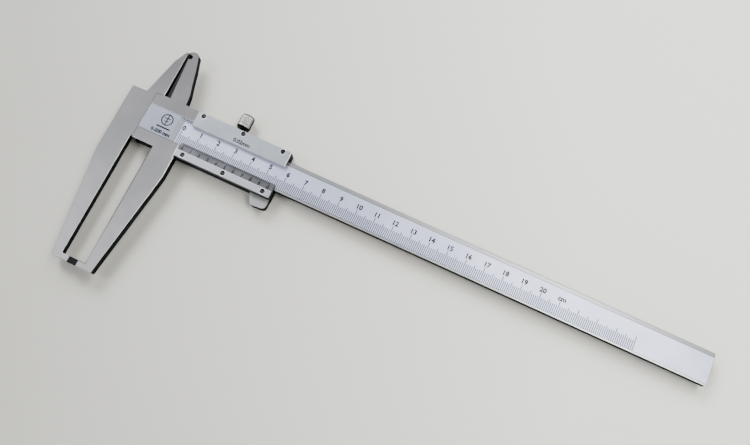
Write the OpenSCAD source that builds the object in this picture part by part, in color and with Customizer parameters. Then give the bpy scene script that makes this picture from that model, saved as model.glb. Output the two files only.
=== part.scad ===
// Vernier caliper with long hooked jaws, 0 to 200 mm.
// X runs along the beam from the main scale's zero mark, +Y points to the short
// upper jaws, +Z is up. Z = 0 is the slider's back face, which the caliper lies on.
// Everything is drawn with the slider at a reading of 5 mm.

/* [Beam] */
// Distance from the scale's zero mark to the beam's free end
beam_end = 288; // [270:1:300]
// Beam edge on the side of the long jaws
beam_low = -7.95; // [-8.2:0.05:-7.5]
// Beam edge on the side of the short jaws
beam_high = 9.1; // [8.8:0.05:9.2]
// Beam thickness
beam_t = 4.2; // [3.8:0.1:4.3]
// Height of the beam's back above the table
beam_z = 2.6; // [2.3:0.05:2.6]
// Width of the bevel along the high edge
high_bevel = 2.1; // [1:0.1:2.4]
// Width of the bevel along the low edge
low_bevel = 0.8; // [0.3:0.1:1.2]
// Depth of the bevel along the low edge
low_bevel_depth = 0.12; // [0.1:0.02:0.6]

/* [Fixed jaws] */
// Left side of the fixed head
head_left = -35.4; // [-36:0.1:-34]
// Measuring plane of the fixed hook
fixed_face = -18.15; // [-18.5:0.05:-17.8]
// Inner side of the long fixed jaw above its hook
fixed_relief = -23; // [-24:0.1:-22]
// Lowest point of the fixed hook
fixed_tip = -83.75; // [-85:0.05:-80]
// Height of the hooks' measuring faces
hook_h = 3.1; // [2.5:0.1:5]
// Tip of the short fixed jaw
upper_tip = 40.9; // [38:0.1:43]
// Inner side of the short fixed jaw
upper_face = -17.7; // [-18.5:0.1:-17.5]

/* [Slider] */
// Opening of the hooks as drawn
opening = 5.0; // [5:0.1:5.2]
// Left end of the slider
slider_left = -21.3; // [-22:0.1:-20]
// Right end of the slider
slider_right = 57.1; // [55:0.1:58]
// Half of the slider's width
slider_half = 13.4; // [13:0.1:14]
// Slider thickness
slider_t = 8.6; // [8.4:0.1:9.4]
// Foot of the slope that ends the bridge in front of the beam
bridge_right = -1.2; // [-3:0.1:-0.8]
// Width of that slope
bridge_slope = 2.2; // [0.5:0.1:3]
// Depth of the shallow label panel on the bridge
label_depth = 0.15; // [0.05:0.05:0.4]
// Width of the rim at the left of the label panel
label_rim = 0.45; // [0.3:0.05:1]
// Half of the height of the bridge's scale window
window_half = 6.9; // [6.5:0.1:7]
// Thickness of the sliding jaws
jaw_t = 5.0; // [4.5:0.1:5.2]
// Play between the beam and the slider
play = 0.05; // [0.03:0.01:0.08]
// Gap over the beam's high edge that holds the leaf spring
spring_gap = 0.8; // [0.7:0.05:1]

/* [Plates and screws] */
// Left end of the cover strip
cover_left = 3.7; // [3:0.1:5]
// Lower edge of the cover strip
cover_low = 5.1; // [4.8:0.1:6]
// Chamfer along the cover strip's lower edge
cover_chamfer = 0.15; // [0.05:0.05:0.8]
// Left end of the vernier plate
vernier_left = 3.0; // [2.6:0.1:3.6]
// Outer edge of the vernier plate
vernier_low = -13.15; // [-13.4:0.05:-13]
// Edge of the vernier plate that meets the main scale
vernier_high = -5.1; // [-6:0.1:-4.8]
// Line where the vernier's slope meets its flat rim
vernier_ridge = -9.5; // [-9.8:0.1:-9]
// Places of the plate screws along the slider
screw_x = [7, 30, 52.6];
// Line of the cover strip's screws
cover_screw_y = 11.95; // [11.6:0.05:12]
// Line of the vernier plate's screws
vernier_screw_y = -11.2; // [-11.6:0.1:-10.6]
// Screw head diameter
head_d = 2.7; // [2.4:0.1:2.8]

/* [Lock screw and stop] */
// Place of the lock screw along the slider
lock_x = 27.0; // [26:0.1:29]
// Diameter of the lock screw's knurled head
lock_head_d = 7.2; // [6.5:0.1:7.6]
// Underside of the knurled head
lock_head_low = 15.0; // [14.8:0.1:17]
// Top of the knurled head
lock_head_high = 23; // [21:0.1:24]
// Diameter of the lock screw's thread
lock_d = 3; // [2.6:0.1:3.2]
// Travel of the slider from the drawn place
travel = 195; // [190:1:195]

/* [Hidden] */
$fn = 64;
eps = 0.5;

face_z = beam_z + beam_t;            // beam face with the main scale
plate_z = face_z + 2 * play;         // seat of the cover strip and vernier plate
back_z = beam_z - play;              // inside of the slider's back wall
jaw_z = slider_t - jaw_t;            // back of the sliding jaws
rail_high = beam_high + spring_gap;  // inner wall of the slider's upper rail
rail_low = beam_low - play;          // inner wall of the slider's lower rail

// Fixed jaws, from the square head outward
head_top_left = 12.3;
head_top_right = 12.6;
upper_root = -27.2;
upper_bend = [-22.2, 33.7];
upper_tip_left = -18.8;
head_low = -26;
fixed_tip_left = -27.3;
relief_r = 0.6;
relief_top = -12.0;
relief_top_r = 1.8;

// Sliding jaws
slide_face = fixed_face + opening;
slide_relief = -9.2;
slide_tip = -83.8;
slide_tip_right = -4.45;
slide_right = 3.6;
slide_bend = -26;
short_left = -15.9;
short_bevel = 0.1;
short_turn = 5.1;
short_slope = 0.6;
short_lap = -12.4;
short_tip = 41.8;
short_beak = [[-15.9, 39.3], [-17.4, 38.9], [-17.5, 39.9], [-14.5, 41.8]];
short_outer = [[-11.3, 41.0], [-8.6, 32.5], [-6.75, 25.5], [-5.0, 19.6], [-4.4, 16]];
short_root = -4.15;
pocket_at = [-15.0, 38.4];
pocket_r = 1.3;
pocket_web = 0.4;
rail_start = -17.9;

// Thumb rest
thumb_left = 45.9;
thumb_low = -19.35;
thumb_z = [0.6, 5.4];

// Screws
head_h = 0.9;
shank_d = 1.4;
shank_end = 3.0;
slot_w = 0.4;
slot_h = 0.45;
thread_play = 0.04;
stop_head = [4, 1.0];
stop_shank = [2, 3.2];
lock_z = slider_t / 2;
pad_h = 1.2;
pad_gap = 0.22;
leaf_t = 0.3;
leaf_x = [5.5, 49.5];
leaf_z = [beam_z + 0.5, face_z - 0.5];
leaf_bow = spring_gap - leaf_t - 0.06;

// Points on an arc about c, from angle a0 to a1
function arc(c, r, a0, a1, n = 8) =
  [for (i = [0 : n]) c + r * [cos(a0 + (a1 - a0) * i / n), sin(a0 + (a1 - a0) * i / n)]];

// A profile in Y and Z, drawn out along X
module along_x(x0, x1) {
  translate([x0, 0, 0]) rotate([90, 0, 90]) linear_extrude(x1 - x0) children();
}

// A plan in X and Y, drawn out along Z
module along_z(z0, z1) {
  translate([0, 0, z0]) linear_extrude(z1 - z0) children();
}

// A profile in X and Z, drawn out along Y
module along_y(y0, y1) {
  translate([0, y1, 0]) rotate([90, 0, 0]) linear_extrude(y1 - y0) children();
}

module block(x, y, z) {
  translate([x[0], y[0], z[0]]) cube([x[1] - x[0], y[1] - y[0], z[1] - z[0]]);
}

// Bar section: flat back, scale face on top, a bevel along each edge
module beam_section() {
  polygon([
    [beam_low, beam_z], [beam_high, beam_z], [beam_high, face_z - 0.7],
    [beam_high - high_bevel, face_z], [beam_low + low_bevel, face_z],
    [beam_low, face_z - low_bevel_depth]
  ]);
}

// Square head with the long hooked jaw below and the short jaw above
module fixed_jaw_plan() {
  polygon(concat(
    [[head_left, head_top_left], [upper_root, head_top_right]],
    [upper_bend, [upper_tip_left, upper_tip], [upper_face, upper_tip], [upper_face, relief_top]],
    arc([fixed_relief + relief_top_r, relief_top - relief_top_r], relief_top_r, 90, 180),
    arc([fixed_relief + relief_r, fixed_tip + hook_h + relief_r], relief_r, 180, 270),
    [[fixed_face, fixed_tip + hook_h], [fixed_face, fixed_tip], [fixed_tip_left, fixed_tip]],
    [[head_left, head_low]]
  ));
}

module beam() {
  color("lightsteelblue") difference() {
    union() {
      along_x(upper_root, beam_end) beam_section();
      along_z(beam_z, face_z) fixed_jaw_plan();
    }
    translate([slider_right + travel + stop_head[0] / 2 + 0.1, 0, beam_z - eps])
      cylinder(d = stop_shank[0] + 2 * thread_play, h = stop_shank[1] + eps + 0.2);
  }
}

module long_sliding_jaw_plan() {
  polygon(concat(
    [[slide_relief, -slider_half + eps]],
    arc([slide_relief - relief_r, slide_tip + hook_h + relief_r], relief_r, 0, -90),
    [[slide_face, slide_tip + hook_h], [slide_face, slide_tip], [slide_tip_right, slide_tip]],
    [[slide_right, slide_bend], [slide_right, -slider_half + eps]]
  ));
}

// Short sliding jaw: a knife bevel that widens toward the root, a beak that leans over the fixed
// jaw's tip, a round pocket below it, and a lap cut behind them that lets the two short jaws
// pass each other as the hooks close
module short_sliding_jaw() {
  difference() {
    along_z(jaw_z, slider_t) polygon(concat(
      [[short_left, slider_half - eps]], short_beak, [[short_outer[0][0] - 1, short_tip]],
      short_outer, [[short_root, slider_half - eps]]
    ));
    translate([short_left + short_bevel, short_tip, 0]) rotate([0, 0, short_turn])
      along_y(slider_half - short_tip - eps, 2 * eps) polygon([
        [0, slider_t + eps], [0, slider_t], [-6 * eps, slider_t - 6 * eps * short_slope],
        [-6 * eps, slider_t + eps]
      ]);
    translate([pocket_at[0], pocket_at[1], plate_z + pocket_web]) cylinder(r = pocket_r, h = slider_t);
    block([short_left - 4 * eps, short_lap], [slider_half - 2 * eps, short_tip + eps],
          [jaw_z - eps, plate_z]);
  }
}

module thumb_plan() {
  polygon(concat(
    [[thumb_left, -slider_half + eps], [thumb_left, -slider_half]],
    arc([thumb_left + 4.6, thumb_low + 2.6], 2.6, 200, 275),
    arc([slider_right - 2.2, thumb_low + 2.6], 2.2, 280, 360),
    [[slider_right, -slider_half + eps]]
  ));
}

module slider_frame() {
  color("silver") difference() {
    union() {
      difference() {
        block([slider_left, slider_right], [-slider_half, slider_half], [0, slider_t]);
        // room for the fixed jaws' roots
        block([slider_left - eps, short_lap], [0, slider_half + eps], [back_z, plate_z]);
        block([slider_left - eps, rail_start], [-slider_half - eps, 0], [back_z, plate_z]);
        block([slider_left - eps, short_lap], [relief_top - 2 * play, 0], [back_z, plate_z]);
      }
      along_z(jaw_z, slider_t) long_sliding_jaw_plan();
      short_sliding_jaw();
      along_z(thumb_z[0], thumb_z[1]) thumb_plan();
    }
    // channel for the beam and the leaf spring
    block([slider_left - eps, slider_right + eps], [rail_low, rail_high], [back_z, plate_z]);
    // label panel, scale window and the two plate seats
    block([slider_left + label_rim, bridge_right], [-window_half, window_half],
          [slider_t - label_depth, slider_t + eps]);
    along_y(-window_half, window_half) polygon([
      [bridge_right, back_z], [bridge_right, plate_z + 0.1],
      [bridge_right - bridge_slope, slider_t - label_depth], [bridge_right, slider_t + eps],
      [slider_right + eps, slider_t + eps], [slider_right + eps, back_z]
    ]);
    block([cover_left, slider_right + eps], [0, slider_half + eps], [plate_z, slider_t + eps]);
    block([vernier_left, slider_right + eps], [-slider_half - eps, 0], [plate_z, slider_t + eps]);
    for (x = screw_x) {
      translate([x, cover_screw_y, shank_end]) cylinder(d = shank_d + 2 * thread_play, h = slider_t);
      translate([x, vernier_screw_y, shank_end]) cylinder(d = shank_d + 2 * thread_play, h = slider_t);
    }
    translate([lock_x, rail_high - eps, lock_z]) rotate([-90, 0, 0])
      cylinder(d = lock_d, h = slider_half);
  }
}

// Countersunk hole through a plate
module plate_hole(x, y) {
  translate([x, y, plate_z - eps]) cylinder(d = shank_d + 4 * thread_play, h = slider_t);
  translate([x, y, slider_t]) rotate_extrude() polygon([
    [0, -head_h - thread_play], [shank_d / 2, -head_h - thread_play],
    [head_d / 2 + thread_play, 0], [head_d / 2 + thread_play, eps], [0, eps]
  ]);
}

module cover_strip() {
  color("gainsboro") difference() {
    along_x(cover_left, slider_right - 0.1) polygon([
      [cover_low, plate_z], [slider_half, plate_z], [slider_half, slider_t],
      [cover_low + cover_chamfer, slider_t], [cover_low, slider_t - cover_chamfer]
    ]);
    for (x = screw_x) plate_hole(x, cover_screw_y);
  }
}

module vernier_plate() {
  color("darkgray") difference() {
    along_x(vernier_left, slider_right - 0.2) polygon([
      [vernier_high, plate_z], [vernier_high, plate_z + 0.2],
      [vernier_ridge, slider_t], [vernier_low, slider_t], [vernier_low, plate_z]
    ]);
    for (x = screw_x) plate_hole(x, vernier_screw_y);
  }
}

// Slotted countersunk screw, head flush with the plate
module plate_screw(x, y) {
  color("dimgray") difference() {
    translate([x, y, slider_t]) rotate_extrude() polygon([
      [0, 0], [head_d / 2, 0], [shank_d / 2, -head_h],
      [shank_d / 2, shank_end - slider_t + 0.1], [0, shank_end - slider_t + 0.1]
    ]);
    block([x - head_d, x + head_d], [y - slot_w / 2, y + slot_w / 2],
          [slider_t - slot_h, slider_t + eps]);
  }
}

module cover_screw_left() { plate_screw(screw_x[0], cover_screw_y); }
module cover_screw_middle() { plate_screw(screw_x[1], cover_screw_y); }
module cover_screw_right() { plate_screw(screw_x[2], cover_screw_y); }
module vernier_screw_left() { plate_screw(screw_x[0], vernier_screw_y); }
module vernier_screw_middle() { plate_screw(screw_x[1], vernier_screw_y); }
module vernier_screw_right() { plate_screw(screw_x[2], vernier_screw_y); }

// Bowed strip that presses on the beam's high edge at its middle
module leaf_spring() {
  half = (leaf_x[1] - leaf_x[0]) / 2;
  steps = 16;
  function bow(u) = leaf_bow * u * u;
  spine = [for (i = [-steps : steps]) [i / steps * half, bow(i / steps)]];
  lower = [for (p = spine) p + [lock_x, beam_high + 0.03]];
  upper = [for (i = [2 * steps : -1 : 0]) lower[i] + [0, leaf_t]];
  color("goldenrod") along_z(leaf_z[0], leaf_z[1]) polygon(concat(lower, upper));
}

pad_low = beam_high + 0.03 + leaf_t + pad_gap;

module lock_pad() {
  color("goldenrod") translate([lock_x, pad_low, lock_z]) rotate([-90, 0, 0])
    cylinder(d = lock_d - 2 * play, h = pad_h);
}

module lock_screw() {
  color("silver") translate([lock_x, 0, lock_z]) rotate([-90, 0, 0]) {
    translate([0, 0, pad_low + pad_h]) cylinder(d = lock_d - 2 * play, h = lock_head_low - pad_low);
    translate([0, 0, lock_head_low]) rotate_extrude() polygon([
      [0, 0], [lock_head_d / 2 - 0.5, 0], [lock_head_d / 2, 0.5],
      [lock_head_d / 2, lock_head_high - lock_head_low - 0.5],
      [lock_head_d / 2 - 0.5, lock_head_high - lock_head_low],
      [0, lock_head_high - lock_head_low]
    ]);
  }
}

module stop_screw() {
  color("dimgray")
    translate([slider_right + travel + stop_head[0] / 2 + 0.1, 0, beam_z]) difference() {
      union() {
        translate([0, 0, -stop_head[1]]) cylinder(d = stop_head[0], h = stop_head[1]);
        cylinder(d = stop_shank[0], h = stop_shank[1]);
      }
      block([-stop_head[0], stop_head[0]], [-slot_w / 2, slot_w / 2],
            [-stop_head[1] - eps, -stop_head[1] + slot_h]);
    }
}

// Soft block held between the two hooks
module tip_keeper() {
  color("black") block([fixed_face, slide_face - 0.02], [fixed_tip - 0.1, fixed_tip + hook_h],
                       [beam_z + 0.4, slider_t - 0.3]);
}

beam();
slider_frame();
cover_strip();
vernier_plate();
cover_screw_left();
cover_screw_middle();
cover_screw_right();
vernier_screw_left();
vernier_screw_middle();
vernier_screw_right();
leaf_spring();
lock_pad();
lock_screw();
stop_screw();
tip_keeper();
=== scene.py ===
"""Looks of the vernier caliper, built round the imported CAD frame.

Lengths are in metres. The main scale's zero mark is at X = 0, +X runs along the beam,
+Y points to the short upper jaws, and Z = 0 is the table.
"""
import math

import bmesh
import bpy
from mathutils import Matrix, Vector


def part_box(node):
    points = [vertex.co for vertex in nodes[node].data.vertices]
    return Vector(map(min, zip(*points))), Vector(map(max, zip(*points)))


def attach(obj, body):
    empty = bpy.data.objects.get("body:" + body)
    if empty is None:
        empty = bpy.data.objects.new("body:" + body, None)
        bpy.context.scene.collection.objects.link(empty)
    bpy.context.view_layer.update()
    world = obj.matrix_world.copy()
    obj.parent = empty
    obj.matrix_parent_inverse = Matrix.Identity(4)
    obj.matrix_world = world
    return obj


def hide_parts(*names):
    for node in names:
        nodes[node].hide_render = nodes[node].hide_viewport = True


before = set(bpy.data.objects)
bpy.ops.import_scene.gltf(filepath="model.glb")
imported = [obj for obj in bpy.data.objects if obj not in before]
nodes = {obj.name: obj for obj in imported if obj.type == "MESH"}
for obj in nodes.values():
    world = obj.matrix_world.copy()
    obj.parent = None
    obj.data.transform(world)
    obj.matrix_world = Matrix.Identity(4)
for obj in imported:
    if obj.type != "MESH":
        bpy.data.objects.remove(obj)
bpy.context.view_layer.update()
MM = 0.001

# Places read from the frame
beam_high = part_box("beam")[1]
slider_low, slider_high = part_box("slider_frame")
cover_low, cover_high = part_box("cover_strip")
vernier_low, vernier_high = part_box("vernier_plate")
lock_low, lock_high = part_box("lock_screw")

FACE_Z = beam_high.z
FRONT_Z = slider_high.z
ABOVE = 1.0  # higher than anything on the caliper

# Places that the CAD's boxes don't give
READING = 5 * MM
HEAD_RIGHT = -17.2 * MM
BEAM_HIGH_Y = 9.1 * MM
SLIDER_HALF = 13.4 * MM
JAW_LEFT = -9.2 * MM
SHORT_JAW_FACE = -17.7 * MM
BRIDGE_RIGHT = -1.2 * MM
BRIDGE_SLOPE = 2.3 * MM
LABEL_HALF = 6.9 * MM
LABEL_Z = FRONT_Z - 0.15 * MM
VERNIER_RIDGE = -9.5 * MM
LOCK_HEAD_LOW = 15.0 * MM
KNURL_RIDGES = 20

# The satin strip's edges, and the widths of its grooves, of the painted seam shade and of the marks
SATIN_LOW = -7.02 * MM
SATIN_HIGH = 6.95 * MM
GROOVE_WIDTH = 0.22 * MM
SEAM = 0.3 * MM
TICK = 0.39 * MM

cover_screws = [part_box("cover_screw_" + side) for side in ("left", "middle", "right")]
SCREW_X = [(low.x + high.x) / 2 for low, high in cover_screws]
COVER_SCREW_Y = sum(corner.y for corner in cover_screws[0]) / 2
VERNIER_SCREW_Y = sum(corner.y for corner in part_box("vernier_screw_left")) / 2

# Marks stand this far above the metal, less than the slider's play over the beam
INK_LIFT = 0.01 * MM
INK_SINK = 0.02 * MM


# ------------------------------------------------------------------ materials
class Look:
    """One node material, with short ways to add nodes to it."""

    def __init__(self, name):
        self.material = bpy.data.materials.new(name)
        self.material.use_nodes = True
        self.tree = self.material.node_tree
        self.shader = self.tree.nodes["Principled BSDF"]
        coordinates = self.add("ShaderNodeTexCoord")
        self.place = coordinates.outputs["Object"]
        self.normal = coordinates.outputs["Normal"]

    def add(self, kind, **settings):
        node = self.tree.nodes.new(kind)
        for key, value in settings.items():
            setattr(node, key, value)
        return node

    def feed(self, socket, value):
        """Gives a socket a number, a colour or another node's output."""
        if isinstance(value, bpy.types.NodeSocket):
            self.tree.links.new(value, socket)
        elif isinstance(value, tuple):
            socket.default_value = (*value, 1.0)
        else:
            socket.default_value = value

    def math(self, operation, a, b=0.0):
        node = self.add("ShaderNodeMath", operation=operation)
        self.feed(node.inputs[0], a)
        self.feed(node.inputs[1], b)
        return node.outputs[0]

    def split(self, vector):
        node = self.add("ShaderNodeSeparateXYZ")
        self.feed(node.inputs[0], vector)
        return node.outputs

    def between(self, value, low, high):
        """1 where low < value < high, and 0 elsewhere."""
        above = self.math("GREATER_THAN", value, low)
        return self.math("MULTIPLY", above, self.math("LESS_THAN", value, high))

    def fade(self, value, start, stop, low=0.0, high=1.0):
        """Runs from low to high as value runs from start to stop, and stays level outside."""
        node = self.add("ShaderNodeMapRange")
        for socket, number in zip(node.inputs, (value, start, stop, low, high)):
            self.feed(socket, number)
        return node.outputs["Result"]

    def noise(self, scale, stretch=(1, 1, 1), detail=3.0):
        mapping = self.add("ShaderNodeMapping")
        mapping.inputs["Scale"].default_value = stretch
        self.feed(mapping.inputs["Vector"], self.place)
        node = self.add("ShaderNodeTexNoise")
        self.feed(node.inputs["Vector"], mapping.outputs[0])
        self.feed(node.inputs["Scale"], scale)
        self.feed(node.inputs["Detail"], detail)
        return node.outputs["Fac"]

    def mix(self, factor, a, b):
        """Blends two colours."""
        node = self.add("ShaderNodeMix", data_type="RGBA")
        self.feed(node.inputs["Factor"], factor)
        self.feed(node.inputs[6], a)
        self.feed(node.inputs[7], b)
        return node.outputs[2]

    def scale(self, colour, share):
        """Multiplies a colour by a number."""
        node = self.add("ShaderNodeVectorMath", operation="SCALE")
        self.feed(node.inputs[0], colour)
        self.feed(node.inputs["Scale"], share)
        return node.outputs[0]

    def blend(self, factor, a, b):
        """Blends two numbers."""
        node = self.add("ShaderNodeMix", data_type="FLOAT")
        self.feed(node.inputs["Factor"], factor)
        self.feed(node.inputs[2], a)
        self.feed(node.inputs[3], b)
        return node.outputs[0]

    def in_box(self, x=None, y=None, z=None):
        """1 inside the given stretches of X, Y and Z."""
        inside = None
        for axis, stretch in zip(self.split(self.place), (x, y, z)):
            if stretch is None:
                continue
            part = self.between(axis, *stretch)
            inside = part if inside is None else self.both(inside, part)
        return inside

    def along(self, axis, start, stop, low=0.0, high=1.0):
        """Fades along an axis, 0 for X, 1 for Y and 2 for Z."""
        return self.fade(self.split(self.place)[axis], start, stop, low, high)

    def both(self, a, b):
        """1 where two masks overlap."""
        return self.math("MULTIPLY", a, b)

    def either(self, a, b):
        """1 where at least one of two masks is."""
        return self.math("MAXIMUM", a, b)

    def facing_up(self, start, stop):
        """1 on faces that point up or down, 0 on the side walls."""
        return self.fade(self.math("ABSOLUTE", self.split(self.normal)[2]), start, stop)

    def bump(self, height, strength, distance):
        node = self.add("ShaderNodeBump")
        self.feed(node.inputs["Strength"], strength)
        self.feed(node.inputs["Distance"], distance)
        self.feed(node.inputs["Height"], height)
        self.feed(self.shader.inputs["Normal"], node.outputs[0])

    def finish(self, colour, rough, metallic=1.0):
        self.feed(self.shader.inputs["Base Color"], colour)
        self.feed(self.shader.inputs["Roughness"], rough)
        self.feed(self.shader.inputs["Metallic"], metallic)
        return self.material


# Colours, each with the worn or lighter tone that it clouds into
# Several of these stand for painted light: the satin's darker tone near the head, the polished strip's
# dull tone, the bright edge, ring and inner-edge colours, and the dark wall, edge, seam, bridge, slope,
# knurl and collar colours
STEEL = (0.260, 0.261, 0.270)
STEEL_WORN = (0.325, 0.320, 0.335)
SATIN = (0.53, 0.56, 0.74)
SATIN_WORN = (0.60, 0.63, 0.82)
SATIN_SHADE = (0.50, 0.53, 0.67)
SATIN_SHADE_LIGHT = (0.56, 0.60, 0.75)
LABEL = (0.27, 0.29, 0.35)
LABEL_WORN = (0.315, 0.33, 0.39)
RIM = (0.38, 0.395, 0.44)
RIM_WORN = (0.45, 0.465, 0.51)
THUMB = (0.47, 0.47, 0.475)
COVER = (0.305, 0.322, 0.365)
COVER_WORN = (0.360, 0.378, 0.422)
POLISHED = (0.40, 0.41, 0.42)
POLISHED_SHADE = (0.16, 0.165, 0.17)
PAINTED_HIGHLIGHT = (0.90, 0.91, 0.93)
RING_HIGHLIGHT = (0.80, 0.81, 0.82)
BRIDGE_SHADE = (0.22, 0.235, 0.265)
INNER_EDGE_HIGHLIGHT = (0.85, 0.86, 0.90)
GROOVE = (0.05, 0.052, 0.056)
GROOVE_DEEP = (0.023, 0.023, 0.025)
WALL_SHADE = (0.006, 0.0062, 0.0067)
WALL_SHADE_MOTTLED = (0.022, 0.0225, 0.024)
EDGE_SHADE = (0.035, 0.035, 0.037)
EDGE_SHADE_SOFT = (0.13, 0.13, 0.135)
SEAM_SHADE = (0.075, 0.075, 0.08)
SLOPE_SHADE = (0.050, 0.052, 0.057)
SLOPE_SHADE_LIGHT = (0.070, 0.072, 0.078)
NICKEL = (0.54, 0.535, 0.52)
NICKEL_WORN = (0.74, 0.73, 0.71)
KNURL_GROOVE_SHADE = (0.03, 0.03, 0.028)
KNURL_SIDE_SHADE = (0.012, 0.012, 0.012)
COLLAR_SHADE = (0.008, 0.008, 0.008)
SCREW_BLACK = (0.02, 0.02, 0.021)
SCREW_WORN = (0.07, 0.07, 0.073)
SCREW_SLOT = (0.30, 0.30, 0.29)
PAPER = (0.50, 0.49, 0.44)
PAPER_LIT = (0.86, 0.85, 0.77)


def ground_base(look, shaded_edge=EDGE_SHADE):
    """Colour, roughness, bump height and upward faces of ground steel.

    Fine lines run one way over cloudy wear, with painted shading that darkens the upper half and
    lightens the long jaws. The side walls are painted near black as shade.
    """
    lines = look.noise(700, stretch=(1, 16, 1), detail=2)
    grain = look.noise(5200, detail=2)
    cloud = look.noise(42, detail=4)
    colour = look.mix(look.fade(cloud, 0.35, 0.65), STEEL, STEEL_WORN)
    # Painted shading: the steel is darker towards the short jaws and lighter towards the long jaws'
    # tips
    colour = look.scale(colour, look.along(1, 30 * MM, -60 * MM, 0.42, 1.30))
    rough = look.fade(lines, 0.3, 0.7, 0.36, 0.50)
    # Painted shade: faces that point neither up nor down are near black, a little mottled
    wall_shade = look.mix(look.fade(look.noise(260, detail=5), 0.45, 0.75), WALL_SHADE, WALL_SHADE_MOTTLED)
    up = look.facing_up(0.45, 0.6)
    colour = edge_wear(look, look.mix(up, wall_shade, colour), shaded_edge)
    return colour, look.blend(up, 0.8, rough), look.math("ADD", lines, grain), up


def edge_wear(look, colour, shaded_edge):
    """Tints the rounded edges.

    Those over the +X and -Y walls get a painted highlight, weaker on the short jaws, and the
    opposite ones get painted shade.
    """
    nx, ny, nz = look.split(look.normal)
    lean = look.math("SUBTRACT", look.math("MULTIPLY", nx, 0.7), look.math("MULTIPLY", ny, 0.7))
    edge = look.between(nz, 0.5, 0.93)
    # Painted highlight on edges over the +X and -Y walls, painted shade on the opposite edges
    shine = look.both(look.along(1, 10 * MM, 20 * MM, 1.0, 0.25), look.fade(lean, 0.1, 0.3))
    colour = look.mix(look.both(edge, shine), colour, PAINTED_HIGHLIGHT)
    return look.mix(look.both(edge, look.fade(lean, -0.1, -0.3)), colour, shaded_edge)


def satin_patch(look, colour, rough, mask, dark, light):
    """Lays satin chrome over colour and rough where mask is 1."""
    cloud = look.noise(70, detail=3)
    satin = look.mix(look.fade(cloud, 0.35, 0.65), dark, light)
    smooth = look.fade(look.noise(3000, detail=2), 0.3, 0.7, 0.42, 0.52)
    return look.mix(mask, colour, satin), look.blend(mask, rough, smooth)


def beam_look():
    """Ground head and jaws, polished edges of the beam and a satin strip for the main scale."""
    look = Look("beam_steel")
    colour, rough, height, up = ground_base(look, EDGE_SHADE_SOFT)
    length = (HEAD_RIGHT, beam_high.x)
    colour, rough = polished_edges(look, colour, rough, length, up)
    face = (FACE_Z - 0.1 * MM, ABOVE)
    satin = look.both(look.in_box(length, (SATIN_LOW, SATIN_HIGH), face), up)
    # Painted shade: the satin is darker towards the head and lighter towards the free end
    tone_along_x = look.along(0, 10 * MM, 150 * MM)
    dark = look.mix(tone_along_x, SATIN_SHADE, SATIN)
    light = look.mix(tone_along_x, SATIN_SHADE_LIGHT, SATIN_WORN)
    colour, rough = satin_patch(look, colour, rough, satin, dark, light)
    for low, shade in ((SATIN_LOW, GROOVE), (SATIN_HIGH - GROOVE_WIDTH, GROOVE_DEEP)):
        colour = look.mix(look.in_box(length, (low, low + GROOVE_WIDTH), face), colour, shade)
    # Painted highlight along the beam's lower rounded edge
    rim = look.in_box(length, (-ABOVE, SATIN_LOW - 0.1 * MM), (FACE_Z - 0.6 * MM, ABOVE))
    colour = look.mix(look.both(rim, up), colour, PAINTED_HIGHLIGHT)
    look.bump(height, 0.10, 0.02 * MM)
    return look.finish(colour, rough)


def polished_edges(look, colour, rough, length, up):
    """Polish beside the satin strip, with a painted reflection bright along the middle of the beam,
    painted shade near its ends and along the back edge towards the free end.
    """
    top = (FACE_Z - 1.2 * MM, ABOVE)
    polished = look.both(look.in_box(length, None, top), up)
    # Painted reflection: bright along the beam's middle, fading to painted shade near its ends
    tone_along_x = look.both(look.along(0, 60 * MM, 210 * MM), look.along(0, 215 * MM, 285 * MM, 1.0, 0.35))
    colour = look.mix(polished, colour, look.mix(tone_along_x, POLISHED_SHADE, POLISHED))
    # Painted shade along the beam's back edge, from 150 mm to the free end
    back = look.in_box((150 * MM, beam_high.x), (BEAM_HIGH_Y - 0.35 * MM, ABOVE), top)
    return look.mix(back, colour, EDGE_SHADE_SOFT), look.blend(polished, rough, 0.38)


def slider_look():
    """Ground steel with a satin label panel, painted shade in its seams, notch and inner floor, and a
    pale thumb rest.
    """
    look = Look("slider_steel")
    colour, rough, height, up = ground_base(look)
    colour, rough = label_panel(look, colour, rough, up)
    # Painted shade in the short jaw's notch and on the back plate's inner floor, seen through gaps
    notch_shade = look.in_box((-16.6 * MM, -13.5 * MM), (36.9 * MM, 39.9 * MM), (0, FRONT_Z - 0.5 * MM))
    inside = look.in_box(None, (slider_low.y, 14 * MM), (2.4 * MM, 2.7 * MM))
    colour = look.mix(look.either(notch_shade, inside), colour, WALL_SHADE)
    colour = slider_seams(look, colour)
    thumb = look.in_box((40 * MM, slider_high.x), (-ABOVE, -13.6 * MM), (5.2 * MM, 5.5 * MM))
    colour = look.mix(look.both(thumb, up), colour, THUMB)
    look.bump(height, 0.10, 0.02 * MM)
    return look.finish(colour, rough)


def label_panel(look, colour, rough, up):
    """Satin label panel, the slope at its right end in painted shade, and a painted highlight on the
    edge of the scale window.
    """
    band = (-LABEL_HALF, LABEL_HALF)
    depth = (LABEL_Z - 0.05 * MM, LABEL_Z + 0.05 * MM)
    panel = look.both(look.in_box((slider_low.x, BRIDGE_RIGHT), band, depth), up)
    colour, rough = satin_patch(look, colour, rough, panel, LABEL, LABEL_WORN)
    # Painted shade on the slope at the panel's right end
    slope = look.in_box((BRIDGE_RIGHT - BRIDGE_SLOPE, BRIDGE_RIGHT + 0.1 * MM), band, (FACE_Z, LABEL_Z))
    colour = look.mix(slope, colour, BRIDGE_SHADE)
    # Painted highlight on the scale window's upper inner wall
    window = (BRIDGE_RIGHT - 0.1 * MM, cover_low.x)
    opening = look.in_box(window, (6 * MM, 7.3 * MM), (FACE_Z, FRONT_Z - 0.1 * MM))
    return look.mix(opening, colour, INNER_EDGE_HIGHLIGHT), rough


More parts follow.
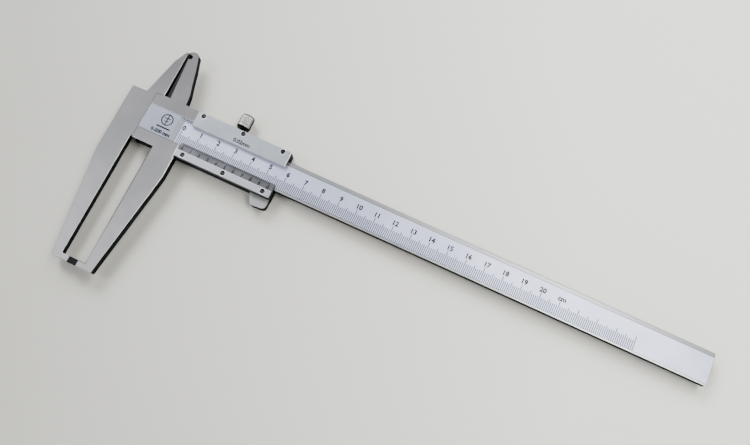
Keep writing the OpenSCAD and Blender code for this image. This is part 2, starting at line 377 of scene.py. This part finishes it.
def slider_seams(look, colour):
    """Painted shade lines along the slider's left side and short top, and down the long jaw's inner
    edge.
    """
    front = (FRONT_Z - 0.2 * MM, ABOVE)
    # Painted shade along the slider's left side and short top
    left = look.in_box((slider_low.x, slider_low.x + SEAM), (-SLIDER_HALF, SLIDER_HALF), front)
    top = look.in_box((slider_low.x, SHORT_JAW_FACE), (SLIDER_HALF - 0.4 * MM, SLIDER_HALF), front)
    colour = look.mix(look.either(left, top), colour, SEAM_SHADE)
    # Painted shade down the long jaw's inner edge, fading out towards the tip
    across = (JAW_LEFT - 0.1 * MM, JAW_LEFT + 0.5 * MM)
    jaw = look.in_box(across, (-78 * MM, -SLIDER_HALF), (FRONT_Z - 0.35 * MM, ABOVE))
    return look.mix(look.both(jaw, look.along(1, -78 * MM, -50 * MM)), colour, EDGE_SHADE)


def screw_rims(look, colour, y):
    """Painted highlight rings round the three countersunk screws of a plate."""
    rings = None
    px, py, pz = look.split(look.place)
    for x in SCREW_X:
        far = look.add("ShaderNodeVectorMath", operation="LENGTH")
        offset = look.add("ShaderNodeCombineXYZ")
        look.feed(offset.inputs[0], look.math("SUBTRACT", px, x))
        look.feed(offset.inputs[1], look.math("SUBTRACT", py, y))
        look.feed(far.inputs[0], offset.outputs[0])
        ring = look.between(far.outputs["Value"], 1.3 * MM, 1.62 * MM)
        rings = ring if rings is None else look.either(rings, ring)
    top = look.math("GREATER_THAN", pz, FRONT_Z - 0.05 * MM)
    return look.mix(look.both(rings, top), colour, RING_HIGHLIGHT)


def cover_look():
    """Satin strip with a painted highlight on its lower edge and right end."""
    look = Look("cover_satin")
    colour, rough, height, up = ground_base(look)
    colour, rough = satin_patch(look, colour, rough, up, COVER, COVER_WORN)
    px, py = look.split(look.place)[:2]
    # Painted highlight on the strip's lower edge and right end
    edge = look.math("LESS_THAN", py, cover_low.y + 0.18 * MM)
    end = look.math("GREATER_THAN", px, cover_high.x - 0.3 * MM)
    colour = look.mix(look.either(edge, look.both(end, up)), colour, INNER_EDGE_HIGHLIGHT)
    colour = screw_rims(look, colour, COVER_SCREW_Y)
    look.bump(height, 0.08, 0.02 * MM)
    return look.finish(colour, rough)


def vernier_look():
    """Pale flat rim, and a frosted slope that carries the vernier marks, painted darker as shade."""
    look = Look("vernier_satin")
    colour, rough, height, up = ground_base(look)
    colour, rough = satin_patch(look, colour, rough, up, RIM, RIM_WORN)
    # Painted shade: the frosted slope is much darker than the rim
    slope = look.math("GREATER_THAN", look.split(look.place)[1], VERNIER_RIDGE + 0.08 * MM)
    slope_shade = look.mix(look.fade(look.noise(160, detail=4), 0.35, 0.65), SLOPE_SHADE, SLOPE_SHADE_LIGHT)
    colour = look.mix(look.both(slope, up), colour, slope_shade)
    colour = screw_rims(look, colour, VERNIER_SCREW_Y)
    look.bump(height, 0.10, 0.02 * MM)
    return look.finish(colour, rough)


def plain_metal(name, dark, light, rough):
    look = Look(name)
    cloud = look.fade(look.noise(300, detail=4), 0.35, 0.65)
    look.bump(look.noise(3600, detail=2), 0.15, 0.02 * MM)
    return look.finish(look.mix(cloud, dark, light), look.fade(cloud, 0, 1, rough, rough + 0.14))


def screw_look():
    """Blackened head with a worn slot."""
    look = Look("screw_blackened")
    cloud = look.fade(look.noise(900, detail=4), 0.35, 0.65)
    colour = look.mix(cloud, SCREW_BLACK, SCREW_WORN)
    slot = look.in_box(None, None, (FRONT_Z - 0.6 * MM, FRONT_Z - 0.3 * MM))
    colour = look.mix(slot, colour, SCREW_SLOT)
    look.bump(look.noise(9000, detail=2), 0.2, 0.02 * MM)
    return look.finish(colour, look.fade(cloud, 0, 1, 0.3, 0.42))


def lock_look():
    """Nickel, with painted shade in the knurl grooves, on two sides of the head and on the collar under
    the head.
    """
    look = Look("lock_nickel")
    px, py, pz = look.split(look.place)
    middle_x = (lock_low.x + lock_high.x) / 2
    middle_z = (lock_low.z + lock_high.z) / 2
    rim = (lock_high.x - lock_low.x) / 2
    flat = look.add("ShaderNodeCombineXYZ")
    look.feed(flat.inputs[0], look.math("SUBTRACT", px, middle_x))
    look.feed(flat.inputs[1], look.math("SUBTRACT", pz, middle_z))
    far = look.add("ShaderNodeVectorMath", operation="LENGTH")
    look.feed(far.inputs[0], flat.outputs[0])
    cloud = look.fade(look.noise(300, detail=4), 0.35, 0.65)
    colour = look.mix(cloud, NICKEL, NICKEL_WORN)
    side = look.math("LESS_THAN", py, lock_high.y - 0.05 * MM)
    # Painted shade in the knurl grooves
    groove_shade = look.fade(far.outputs["Value"], rim - 0.10 * MM, rim - 0.24 * MM)
    colour = look.mix(look.both(side, groove_shade), colour, KNURL_GROOVE_SHADE)
    # Painted shade on two sides of the head, turning with the screw
    across = look.math("ABSOLUTE", look.math("SUBTRACT", px, middle_x + 0.3 * MM))
    side_shade = look.fade(across, rim - 1.2 * MM, rim - 0.5 * MM, 0, 0.98)
    colour = look.mix(look.both(side, side_shade), colour, KNURL_SIDE_SHADE)
    # Painted shade on the collar and shank under the head
    collar_shade = look.math("LESS_THAN", py, LOCK_HEAD_LOW + 1.3 * MM)
    colour = look.mix(collar_shade, colour, COLLAR_SHADE)
    look.bump(look.noise(3600, detail=2), 0.15, 0.02 * MM)
    return look.finish(colour, look.fade(cloud, 0, 1, 0.28, 0.42))


def matte(name, dark, light, rough):
    """Dull ink or rubber with little shine."""
    look = Look(name)
    look.shader.inputs["Specular IOR Level"].default_value = 0.12
    cloud = look.fade(look.noise(900, detail=4), 0.35, 0.65)
    look.bump(look.noise(5400, detail=3), 0.3, 0.03 * MM)
    return look.finish(look.mix(cloud, dark, light), look.fade(cloud, 0, 1, rough, rough + 0.1), 0.0)


def floor_look():
    """Pale paper, with painted light that makes it a little lighter towards the beam's free end."""
    look = Look("table_paper")
    px, py = look.split(look.place)[:2]
    # Painted light: the paper is lighter towards the beam's free end
    along = look.math("ADD", look.math("MULTIPLY", px, 0.91), look.math("MULTIPLY", py, 0.42))
    cloud = look.math("MULTIPLY", look.fade(look.noise(6, detail=3), 0.3, 0.7), 0.08)
    tone = look.math("ADD", look.fade(along, -0.09, 0.22), cloud)
    look.bump(look.noise(900, detail=4), 0.08, 0.1 * MM)
    return look.finish(look.mix(tone, PAPER, PAPER_LIT), 0.75, 0.0)


# ------------------------------------------------------------------ one look for each node
ink = matte("scale_ink", (0.002, 0.002, 0.003), (0.008, 0.008, 0.010), 0.6)
dark_screw = screw_look()
nickel = lock_look()
bronze = plain_metal("spring_bronze_metal", (0.35, 0.22, 0.10), (0.50, 0.34, 0.16), 0.34)
rubber = matte("keeper_black", (0.003, 0.003, 0.003), (0.009, 0.009, 0.009), 0.6)

LOOKS = {
    "beam": beam_look(),
    "slider_frame": slider_look(),
    "cover_strip": cover_look(),
    "vernier_plate": vernier_look(),
    "stop_screw": dark_screw,
    "leaf_spring": bronze,
    "lock_pad": bronze,
    "lock_screw": nickel,
    "tip_keeper": rubber,
}
for side in ("left", "middle", "right"):
    LOOKS["cover_screw_" + side] = dark_screw
    LOOKS["vernier_screw_" + side] = dark_screw


def dress(piece, material):
    """Gives a piece one material."""
    piece.data.materials.clear()
    piece.data.materials.append(material)


# ------------------------------------------------------------------ edges of the CAD nodes
def soften(node, width, angle=25, only=None, clamp=True):
    """Rounds a CAD node's edges a little, so that they catch the light as machined edges do.

    With only, just the edges between corners that it picks are rounded. Without clamp, the
    nodes' tiniest edges don't hold the width back.
    """
    piece = nodes[node]
    weld = piece.modifiers.new("weld", "WELD")
    weld.merge_threshold = 0.002 * MM
    flat = piece.modifiers.new("flat_faces", "DECIMATE")
    flat.decimate_type = "DISSOLVE"
    flat.angle_limit = math.radians(0.5)
    bevel = piece.modifiers.new("edge", "BEVEL")
    bevel.width = width
    bevel.segments = 2
    bevel.limit_method = "ANGLE"
    bevel.angle_limit = math.radians(angle)
    if only:
        group = piece.vertex_groups.new(name="rounded")
        group.add([vert.index for vert in piece.data.vertices if only(vert.co)], 1.0, "ADD")
        bevel.limit_method = "VGROUP"
        bevel.vertex_group = group.name
    bevel.use_clamp_overlap = clamp
    normals = piece.modifiers.new("normals", "WEIGHTED_NORMAL")
    normals.keep_sharp = True


def front_corner(place):
    """Corners of the slider's front face, without the short jaw's thin knife edge."""
    return place.z > FRONT_Z - 0.02 * MM and place.y < 12.9 * MM


for name, node in nodes.items():
    dress(node, LOOKS[name])


# ------------------------------------------------------------------ marks
def new_piece(name, mesh, material, body):
    """Adds a piece that rides on one of the frame's bodies."""
    piece = bpy.data.objects.new(name, mesh)
    bpy.context.scene.collection.objects.link(piece)
    dress(piece, material)
    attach(piece, body)
    return piece


def bar_mesh(name, bars, height):
    """Thin bars (x0, x1, y0, y1) lying on the surface z = height(y)."""
    mesh = bpy.data.meshes.new(name)
    shape = bmesh.new()
    for x0, x1, y0, y1 in bars:
        corners = [(x0, y0), (x1, y0), (x1, y1), (x0, y1)]
        low = [shape.verts.new((x, y, height(y) - INK_SINK)) for x, y in corners]
        top = [shape.verts.new((x, y, height(y) + INK_LIFT)) for x, y in corners]
        shape.faces.new(top)
        shape.faces.new(low[::-1])
        for i in range(4):
            j = (i + 1) % 4
            shape.faces.new((low[i], low[j], top[j], top[i]))
    shape.to_mesh(mesh)
    shape.free()
    return mesh


def letter_curve(name, text, size, thick):
    """One word as an extruded curve, thick metres bolder than the plain letters."""
    curve = bpy.data.curves.new(name, "FONT")
    curve.body = text
    curve.size = size
    curve.align_x = "CENTER"
    curve.align_y = "CENTER"
    curve.offset = thick
    curve.extrude = (INK_LIFT + INK_SINK) / 2
    curve.resolution_u = 3
    return curve


def word_mesh(name, words, size, height, thick):
    """Flat letters, each word centred on its (x, y), lying on the surface z = height(y)."""
    shape = bmesh.new()
    for text, x, y in words:
        curve = letter_curve(name, text, size, thick)
        letters = bpy.data.objects.new(name, curve)
        bpy.context.scene.collection.objects.link(letters)
        bpy.context.view_layer.update()
        solid = letters.evaluated_get(bpy.context.evaluated_depsgraph_get())
        mesh = bpy.data.meshes.new_from_object(solid)
        mesh.transform(Matrix.Translation((x, y, 0)))
        shape.from_mesh(mesh)
        bpy.data.objects.remove(letters)
        bpy.data.curves.remove(curve)
        bpy.data.meshes.remove(mesh)
    bmesh.ops.remove_doubles(shape, verts=shape.verts, dist=0.0005 * MM)
    middle = (INK_LIFT - INK_SINK) / 2
    for vert in shape.verts:
        vert.co.z += height(vert.co.y) + middle
    mesh = bpy.data.meshes.new(name)
    shape.to_mesh(mesh)
    shape.free()
    return mesh


def on_beam(y):
    return FACE_Z


def on_cover(y):
    return FRONT_Z


def on_label(y):
    return LABEL_Z


def on_vernier(y):
    """Height of the vernier plate's slope, which falls from its flat rim to the beam."""
    edge = vernier_high.y
    foot = vernier_low.z + 0.2 * MM
    share = min(1, max(0, (edge - y) / (edge - VERNIER_RIDGE)))
    return foot + share * (FRONT_Z - foot)


def main_scale():
    """Millimetre marks from 0 to 250, longer at 5 and 10, with numbers from 0 to 20."""
    bars = []
    for mark in range(251):
        top = 0.6 if mark % 10 == 0 else -0.5 if mark % 5 == 0 else -1.6
        x = mark * MM
        bars.append((x - TICK / 2, x + TICK / 2, SATIN_LOW + 0.1 * MM, top * MM))
    marks = bar_mesh("main_scale_marks", bars, on_beam)
    new_piece("main_scale_marks", marks, ink, "beam")
    words = [(str(cm), (10 * cm + 0.3) * MM, 2.25 * MM) for cm in range(21)]
    words.append(("cm", 210.5 * MM, 2.1 * MM))
    letters = word_mesh("main_scale_numbers", words, 3.5 * MM, on_beam, 0.16 * MM)
    new_piece("main_scale_numbers", letters, ink, "beam")


def vernier_scale():
    """50 divisions over 49 mm, numbered every fifth mark."""
    step = 0.98 * MM
    edge = vernier_high.y
    bars = []
    words = []
    for mark in range(51):
        x = READING + mark * step
        length = 2.2 if mark % 5 == 0 else 1.5
        bars.append((x - TICK / 2, x + TICK / 2, edge - length * MM, edge - 0.02 * MM))
        if mark % 5 == 0:
            words.append((str(mark // 5 % 10), x, -8.35 * MM))
    marks = bar_mesh("vernier_marks", bars, on_vernier)
    new_piece("vernier_marks", marks, ink, "slider")
    letters = word_mesh("vernier_numbers", words, 2.5 * MM, on_vernier, 0.12 * MM)
    new_piece("vernier_numbers", letters, ink, "slider")


def ring_mesh(name, centre, inner, outer, height, steps=48):
    """A flat ring on the surface z = height(y)."""
    mesh = bpy.data.meshes.new(name)
    shape = bmesh.new()
    loops = []
    for radius, lift in ((inner, -INK_SINK), (outer, -INK_SINK), (outer, INK_LIFT), (inner, INK_LIFT)):
        loop = []
        for i in range(steps):
            a = 2 * math.pi * i / steps
            x, y = centre[0] + radius * math.cos(a), centre[1] + radius * math.sin(a)
            loop.append(shape.verts.new((x, y, height(y) + lift)))
        loops.append(loop)
    for k in range(4):
        this, after = loops[k], loops[(k + 1) % 4]
        for i in range(steps):
            j = (i + 1) % steps
            shape.faces.new((this[i], this[j], after[j], after[i]))
    bmesh.ops.recalc_face_normals(shape, faces=shape.faces)
    shape.to_mesh(mesh)
    shape.free()
    return mesh


def label():
    """A plain dial sign and the range on the label, and the resolution on the cover strip."""
    x, y = centre = (-9.0 * MM, 2.2 * MM)
    dial = ring_mesh("label_dial", centre, 2.65 * MM, 3.25 * MM, on_label)
    new_piece("label_dial", dial, ink, "slider")
    bars = [
        (x - 3.9 * MM, x + 3.9 * MM, y - 5.0 * MM, y - 4.2 * MM),
        (x - 0.25 * MM, x + 0.25 * MM, y - 2.65 * MM, y + 2.65 * MM),
        (x - 1.8 * MM, x + 1.8 * MM, y + 0.5 * MM, y + 0.95 * MM),
        (x - 1.2 * MM, x + 1.2 * MM, y - 1.1 * MM, y - 0.65 * MM),
    ]
    new_piece("label_bars", bar_mesh("label_bars", bars, on_label), ink, "slider")
    words = [("0-200 mm", x - 0.2 * MM, -5.1 * MM)]
    letters = word_mesh("label_range", words, 2.6 * MM, on_label, 0.14 * MM)
    new_piece("label_range", letters, ink, "slider")
    words = [("0.02mm", 31.4 * MM, 7.2 * MM)]
    letters = word_mesh("resolution_text", words, 2.9 * MM, on_cover, 0.11 * MM)
    new_piece("resolution_text", letters, ink, "slider")


# ------------------------------------------------------------------ lock screw
def lock_profile(radius):
    """The screw from its tip to its top, as (radius, Y, depth of the knurl from 0 to 1)."""
    low, high = LOCK_HEAD_LOW, lock_high.y
    shank = 1.45 * MM
    profile = [(0, lock_low.y, 0), (shank - 0.2 * MM, lock_low.y, 0), (shank, lock_low.y + 0.2 * MM, 0)]
    profile += [(shank, low - 0.02 * MM, 0), (shank, low, 0), (radius - 0.55 * MM, low, 0)]
    rings = 26
    for i in range(rings + 1):
        share = i / rings
        y = low + 0.1 * MM + share * (high - low - 0.2 * MM)
        end = min(share, 1 - share) * rings / 3
        profile.append((radius - 0.45 * MM * max(0, 1 - end), y, min(1, end)))
    profile += [(radius - 0.65 * MM, high, 0), (radius - 1.4 * MM, high, 0)]
    profile += [(radius - 1.5 * MM, high - 0.12 * MM, 0), (0, high - 0.12 * MM, 0)]
    return profile


def knurl_cut(angle, y):
    """Depth of the diamond knurl, cut by two crossing sets of spiral grooves."""
    turn = angle * KNURL_RIDGES
    twist = (y - LOCK_HEAD_LOW) / (5.2 * MM) * 2 * math.pi * 1.6
    one = abs(math.sin((turn + twist) / 2))
    two = abs(math.sin((turn - twist) / 2))
    return 0.34 * MM * (1 - min(one, two)) ** 2


def lock_screw():
    """Shank and diamond-knurled head, turned about the screw's own axis."""
    centre_x = (lock_low.x + lock_high.x) / 2
    centre_z = (lock_low.z + lock_high.z) / 2
    around = KNURL_RIDGES * 8
    shape = bmesh.new()
    loops = []
    for radius, y, knurl in lock_profile((lock_high.x - lock_low.x) / 2):
        loop = []
        for i in range(around if radius else 1):
            a = 2 * math.pi * i / around
            local = radius - knurl * knurl_cut(a, y)
            x, z = centre_x + local * math.cos(a), centre_z + local * math.sin(a)
            loop.append(shape.verts.new((x, y, z)))
        loops.append(loop)
    for this, after in zip(loops, loops[1:]):
        for i in range(around):
            j = (i + 1) % around
            ends = [(this, i), (this, j), (after, j), (after, i)]
            corners = dict.fromkeys(loop[k % len(loop)] for loop, k in ends)
            shape.faces.new(list(corners))
    bmesh.ops.recalc_face_normals(shape, faces=shape.faces)
    mesh = bpy.data.meshes.new("lock_screw_knurled")
    shape.to_mesh(mesh)
    shape.free()
    piece = new_piece("lock_screw_knurled", mesh, nickel, "lock_screw")
    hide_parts("lock_screw")


# ------------------------------------------------------------------ table, light and camera
def table():
    """A plain pale table that runs out of view on every side."""
    mesh = bpy.data.meshes.new("table")
    shape = bmesh.new()
    bmesh.ops.create_grid(shape, x_segments=8, y_segments=8, size=3)
    shape.to_mesh(mesh)
    shape.free()
    floor = bpy.data.objects.new("table", mesh)
    bpy.context.scene.collection.objects.link(floor)
    dress(floor, floor_look())


def area_light(name, place, aim, size, power, colour):
    data = bpy.data.lights.new(name, "AREA")
    data.shape = "RECTANGLE"
    data.size, data.size_y = size
    data.energy = power
    data.color = colour
    lamp = bpy.data.objects.new(name, data)
    bpy.context.scene.collection.objects.link(lamp)
    lamp.location = place
    lamp.rotation_euler = (Vector(aim) - Vector(place)).to_track_quat("-Z", "Y").to_euler()


def studio_walls():
    """Pale walls round the table, and a dark ceiling."""
    world = bpy.data.worlds.new("studio")
    bpy.context.scene.world = world
    world.use_nodes = True
    tree = world.node_tree
    background = tree.nodes["Background"]
    background.inputs["Color"].default_value = (0.93, 0.96, 1.0, 1)
    place = tree.nodes.new("ShaderNodeTexCoord")
    split = tree.nodes.new("ShaderNodeSeparateXYZ")
    tree.links.new(place.outputs["Generated"], split.inputs[0])
    fade = tree.nodes.new("ShaderNodeMapRange")
    tree.links.new(split.outputs["Z"], fade.inputs["Value"])
    fade.inputs["From Min"].default_value = 0.30
    fade.inputs["From Max"].default_value = 0.62
    fade.inputs["To Min"].default_value = 1.0
    fade.inputs["To Max"].default_value = 0.04
    tree.links.new(fade.outputs["Result"], background.inputs["Strength"])


def lights():
    """Windows behind and to the left, the main one far away, and a soft lamp over the free end."""
    area_light("overhead", (0.37, 0.14, 0.6), (0.34, 0.12, 0), (0.48, 0.24), 3.6, (1.0, 0.99, 0.96))
    area_light("window", (0.44, 1.0, 0.80), (0.15, 0, 0), (0.54, 0.8), 9, (0.96, 0.98, 1.0))
    area_light("far_window", (-2.2, 2.3, 2.4), (0.1, 0, 0), (2.0, 1.8), 225, (0.97, 0.98, 1.0))
    area_light("side_window", (-0.85, -0.30, 0.95), (0.0, -0.05, 0), (0.5, 0.5), 7, (0.98, 0.98, 1.0))


def camera():
    """The photograph's viewpoint, over the beam's middle and a little towards the long jaws."""
    right = Vector((0.90753, 0.41976, 0.01412))
    up = Vector((-0.41096, 0.88056, 0.23609))
    back = right.cross(up)
    data = bpy.data.cameras.new("camera")
    data.lens = 34.03
    data.sensor_width = 36
    data.clip_start = 0.01
    view = bpy.data.objects.new("camera", data)
    bpy.context.scene.collection.objects.link(view)
    turn = Matrix((right, up, back)).transposed().to_4x4()
    view.matrix_world = Matrix.Translation((0.14163, -0.07989, 0.35281)) @ turn
    bpy.context.scene.camera = view


soften("beam", 0.25 * MM, clamp=False)
soften("slider_frame", 0.28 * MM, only=front_corner, clamp=False)
soften("cover_strip", 0.12 * MM)
soften("vernier_plate", 0.12 * MM, 30)
soften("tip_keeper", 0.25 * MM)
main_scale()
vernier_scale()
label()
lock_screw()
table()
studio_walls()
lights()
camera()
